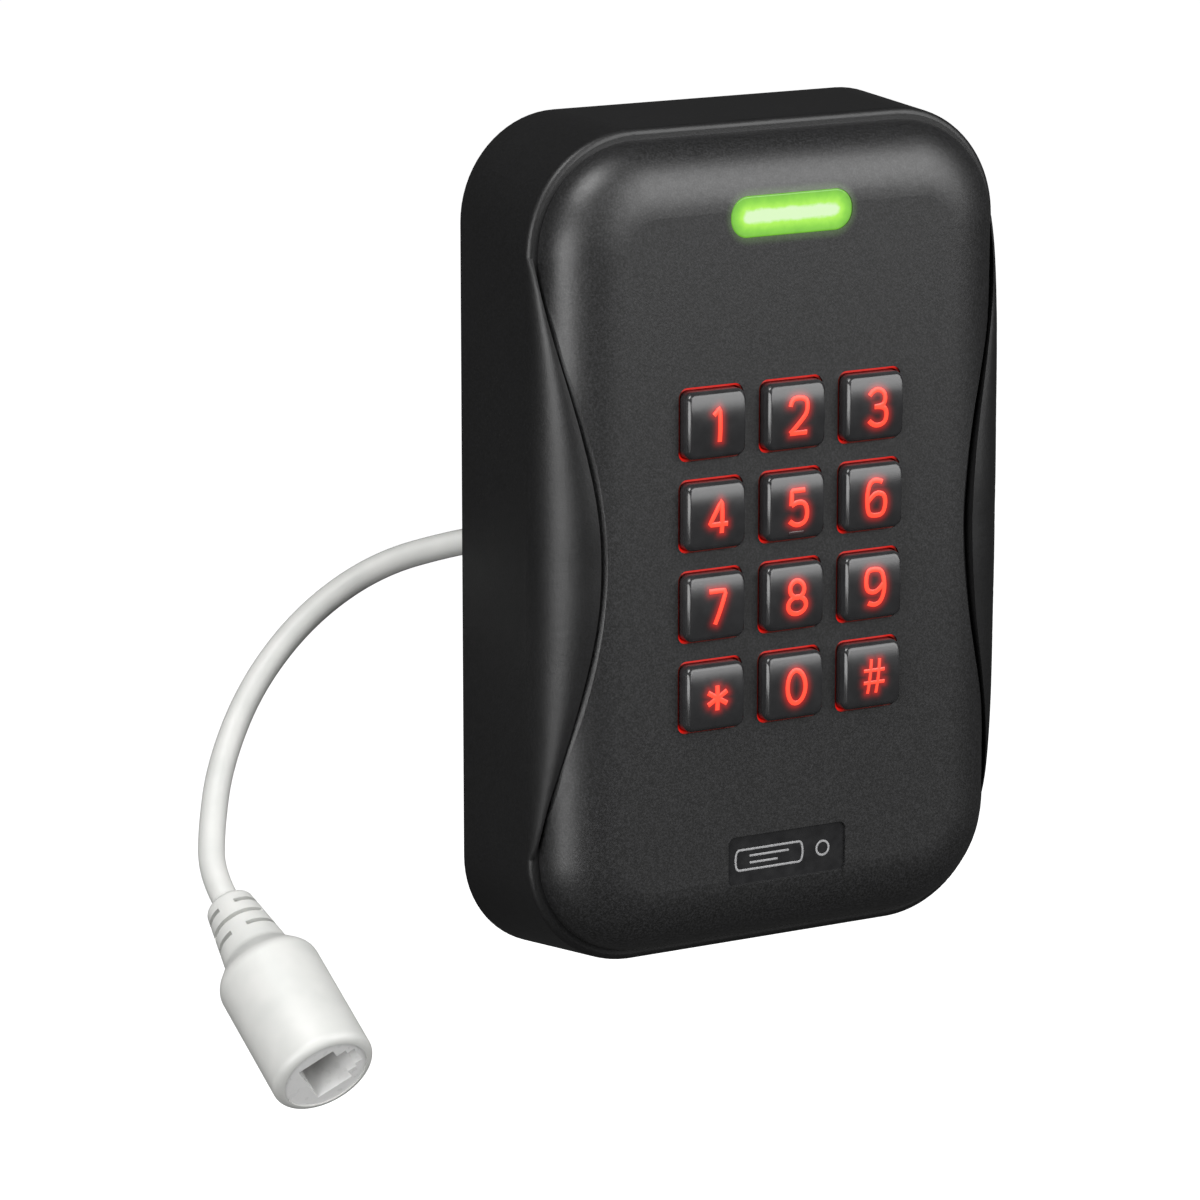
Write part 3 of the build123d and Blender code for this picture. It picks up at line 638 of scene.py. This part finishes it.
class READER_OT_housing(bpy.types.Operator):
    """Finishes the outer shell and the front panel"""

    bl_idname = "reader.housing"
    bl_label = "Housing"

    def execute(self, context):
        surface_on("outer_shell", spark_textured_abs())
        surface_on("front_panel", speckled_polycarbonate())
        surface_on("rear_cover", spark_textured_abs())
        surface_on("badge_plate", moulded("badge_film", "#1C1C1D", "#222223", 2.0, 0.3, 0.003))
        self.badge_mark(context)
        surface_on("light_bar", green_diffuser_polycarbonate())
        surface_on("key_light_frame", red_light_guide_acrylic())
        return {"FINISHED"}

    def badge_mark(self, context):
        """A plain printed mark on the badge: a capsule round two bars, and a dot beside it."""
        capsule = [(-7.5, 1.6), (-9, 1.6), (-9, -1.6), (-7.5, -1.6)]
        capsule += [(1.5, -1.6), (3, -1.6), (3, 1.6), (1.5, 1.6)]
        lines = [(3, True, capsule)]
        lines.append((2, False, [(-6.5, 0.55), (0.5, 0.55)]))
        lines.append((2, False, [(-6.5, -0.55), (-1.5, -0.55)]))
        lines.append((3, True, ring_points(6.6, 0, 1.1, 1.1)))
        strokes = [(order, closed, [(x * MM, y * MM) for x, y in points]) for order, closed, points in lines]
        bm = stroke_mesh(context, strokes, 0.34 * MM, 0.02 * MM)
        centre = box_centre("badge_plate")
        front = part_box("badge_plate")[0].y
        place = Matrix.Translation((centre.x, front, centre.z)) @ Matrix.Rotation(math.pi / 2, 4, "X")
        bmesh.ops.transform(bm, matrix=place, verts=bm.verts)
        ink = moulded("printed_silver_ink", "#8C8C8D", "#A2A2A3", 0.5, 0.4, 0.002)
        finish_piece(bm, "badge_mark", ink, HOUSING, "badge", sharp=60)


class READER_OT_keys(bpy.types.Operator):
    """Makes the twelve key caps and their lit legends"""

    bl_idname = "reader.keys"
    bl_label = "Keys"

    def execute(self, context):
        sizes = context.scene.reader_sizes
        for name in FIGURES:
            legend = self.legend(context, sizes, name)
            self.cap(sizes, name, legend)
        return {"FINISHED"}

    def crown(self, sizes, centre, point):
        """How far the curved front falls back at this point."""
        return (point.z - centre.z) ** 2 / (2 * sizes.cap_crown)

    def legend(self, context, sizes, name):
        stroke = sizes.legend_stroke * (HASH_STROKE_SHARE if name == "hash" else 1)
        half_wide = (sizes.legend_width - stroke) / 2
        half_tall = (sizes.legend_height - stroke) / 2
        strokes = []
        for order, closed, points in figure_strokes(name):
            strokes.append((order, closed, [(x * half_wide, y * half_tall) for x, y in points]))
        bm = stroke_mesh(context, strokes, stroke, LEGEND_RISE)
        centre = box_centre(f"key_{name}")
        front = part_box("key_1")[0].y
        place = Matrix.Translation((centre.x, front, centre.z)) @ Matrix.Rotation(math.pi / 2, 4, "X")
        bmesh.ops.transform(bm, matrix=place, verts=bm.verts)
        for i in range(-14, 15):
            through = Vector((centre.x, 0, centre.z + i * 0.2 * MM))
            whole = [*bm.verts, *bm.edges, *bm.faces]
            bmesh.ops.bisect_plane(bm, geom=whole, plane_co=through, plane_no=(0, 0, 1))
        for vert in bm.verts:
            vert.co.y += self.crown(sizes, centre, vert.co)
        body = f"key_{name}_cap"
        return finish_piece(bm, f"legend_{name}", lit_legend_ink(), body, "key_plastic", sharp=60)

    def cap(self, sizes, name, legend):
        low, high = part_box("key_1")
        centre = box_centre(f"key_{name}")
        skirt_back = high.y - PLUNGER_LENGTH
        bm = bmesh.new()
        bmesh.ops.create_cube(bm, size=1)
        bmesh.ops.scale(bm, vec=(sizes.cap_width, skirt_back - low.y, sizes.cap_width), verts=bm.verts)
        bmesh.ops.translate(bm, vec=(centre.x, (skirt_back + low.y) / 2, centre.z), verts=bm.verts)
        sides = [e for e in bm.edges if abs(e.verts[0].co.y - e.verts[1].co.y) > MM]
        round_edges(bm, sides, sizes.cap_corner, 6)
        rim = [e for e in bm.edges if all(v.co.y < low.y + 0.01 * MM for v in e.verts)]
        round_edges(bm, rim, sizes.cap_edge, 5)
        for normal in ((1, 0, 0), (0, 0, 1)):
            for i in range(1, CAP_CUTS):
                step = sizes.cap_width * (i / CAP_CUTS - 0.5)
                through = Vector((centre.x, 0, centre.z)) + Vector(normal) * step
                near = [f for f in bm.faces if f.calc_center_median().y < low.y + 0.02 * MM]
                edges = {e for f in near for e in f.edges}
                verts = {v for f in near for v in f.verts}
                bmesh.ops.bisect_plane(bm, geom=[*near, *edges, *verts], plane_co=through, plane_no=normal)
        for vert in bm.verts:
            if vert.co.y < low.y + 2 * MM:
                vert.co.y += self.crown(sizes, centre, vert.co)
        self.skirt(bm, centre, low, high, skirt_back)
        if name == "5":
            self.nub(bm, centre, low)
        points = [v.co for v in legend.data.vertices]
        figure = BVHTree.FromPolygons(points, [p.vertices for p in legend.data.polygons])
        # Painted light: how strongly each point of the cap's front glows red, fading with distance from the
        # figure
        glow = bm.verts.layers.float.new("glow")
        for vert in bm.verts:
            away = figure.find_nearest(vert.co)[3]
            vert[glow] = math.exp(-((away / sizes.glow_reach) ** 1.5)) if vert.co.y < low.y + 1.2 * MM else 0
        finish_piece(bm, f"cap_{name}", satin_keycap_abs(), f"key_{name}_cap", "key_plastic", f"key_{name}")

    def nub(self, bm, centre, low):
        """The raised bar below the figure that a finger finds."""
        bar = bmesh.ops.create_cube(bm, size=1)["verts"]
        bmesh.ops.scale(bm, vec=NUB_SIZE, verts=bar)
        bmesh.ops.translate(bm, vec=(centre.x, low.y + 0.7 * MM, centre.z - NUB_DROP), verts=bar)
        edges = {e for v in bar for e in v.link_edges}
        round_edges(bm, list(edges), 0.15 * MM, 3)

    def skirt(self, bm, centre, low, high, skirt_back):
        """The collar that keeps the cap in, and the plunger behind it."""
        wide = (high - low).x
        collar = bmesh.ops.create_cube(bm, size=1)["verts"]
        bmesh.ops.scale(bm, vec=(wide, COLLAR_DEPTH, wide), verts=collar)
        bmesh.ops.translate(bm, vec=(centre.x, skirt_back - COLLAR_DEPTH / 2, centre.z), verts=collar)
        middle = (centre.x, skirt_back + PLUNGER_LENGTH / 2, centre.z)
        bmesh.ops.create_cone(
            bm,
            cap_ends=True,
            segments=32,
            radius1=PLUNGER_RADIUS,
            radius2=PLUNGER_RADIUS,
            depth=PLUNGER_LENGTH,
            matrix=Matrix.Translation(middle) @ Matrix.Rotation(math.pi / 2, 4, "X"),
        )


class READER_OT_inside(bpy.types.Operator):
    """Finishes the board, its parts, the mat, the wall plate and the screws"""

    bl_idname = "reader.inside"
    bl_label = "Inside and wall plate"

    def execute(self, context):
        steel = zinc_plated_steel()
        for node in ("mounting_plate", "cover_screws", "board_screws", "security_screw", "radio_module"):
            surface_on(node, steel)
        surface_on("main_board", solder_mask())
        surface_on("keypad_mat", moulded("silicone_rubber", "#5A5A5B", "#626263", 0.8, 0.6, 0.01))
        spring = moulded("spring_steel", "#B8B6B0", "#CBC9C3", 0.4, 0.25, 0.003, metallic=1.0)
        surface_on("snap_domes", spring)
        package = moulded("epoxy_package", "#1C1C1D", "#262627", 0.25, 0.55, 0.01)
        for node in ("processor", "power_module", "buzzer", "tamper_sensor"):
            surface_on(node, package)
        lamp = moulded("diode_package", "#E0DCC0", "#ECE8D0", 0.4, 0.35, 0.004)
        for node in ("key_lights", "status_lights"):
            surface_on(node, lamp)
        copper = moulded("enamelled_copper", "#A8582C", "#C87840", 0.3, 0.25, 0.02, metallic=1.0)
        surface_on("antenna_coil", copper)
        surface_on("ferrite_ring", moulded("sintered_ferrite", "#2A2A2C", "#38383A", 0.3, 0.7, 0.02))
        surface_on("potting_fill", moulded("cast_epoxy", "#161617", "#1E1E1F", 4.0, 0.3, 0.03))
        surface_on("cover_gasket", moulded("closed_cell_foam", "#1E1E1E", "#323232", 0.5, 0.9, 0.06))
        nickel = moulded("nickel_plate", "#B9B5AB", "#CAC6BC", 1.0, 0.18, 0.002, metallic=1.0)
        surface_on("tamper_magnet", nickel)
        white = moulded("white_pbt", "#DCDCDB", "#E2E2E1", 1.2, 0.3, 0.002)
        surface_on("cable_header", white)
        surface_on("lead_plug", white)
        surface_on("inner_leads", moulded("wire_insulation", "#6A6E78", "#7C808A", 0.6, 0.4, 0.004))
        return {"FINISHED"}


class READER_PT_sidebar(bpy.types.Panel):
    bl_label = "Keypad Reader"
    bl_idname = "READER_PT_sidebar"
    bl_space_type = "VIEW_3D"
    bl_region_type = "UI"
    bl_category = "Reader"

    def draw(self, context):
        for group in (context.scene.reader_sizes, context.scene.reader_colours):
            for name in group.__annotations__:
                self.layout.prop(group, name)
        for operator in OPERATORS:
            self.layout.operator(operator.bl_idname)


OPERATORS = (READER_OT_stage, READER_OT_lead, READER_OT_housing, READER_OT_keys, READER_OT_inside)
CLASSES = (ReaderSizes, ReaderColours, *OPERATORS, READER_PT_sidebar)


def register():
    for cls in CLASSES:
        bpy.utils.register_class(cls)
    bpy.types.Scene.reader_sizes = bpy.props.PointerProperty(type=ReaderSizes)
    bpy.types.Scene.reader_colours = bpy.props.PointerProperty(type=ReaderColours)


def unregister():
    del bpy.types.Scene.reader_sizes
    del bpy.types.Scene.reader_colours
    for cls in reversed(CLASSES):
        bpy.utils.unregister_class(cls)


def main():
    register()
    bpy.ops.reader.stage()
    bpy.ops.reader.lead()
    bpy.ops.reader.housing()
    bpy.ops.reader.keys()
    bpy.ops.reader.inside()


if __name__ == "__main__":
    main()
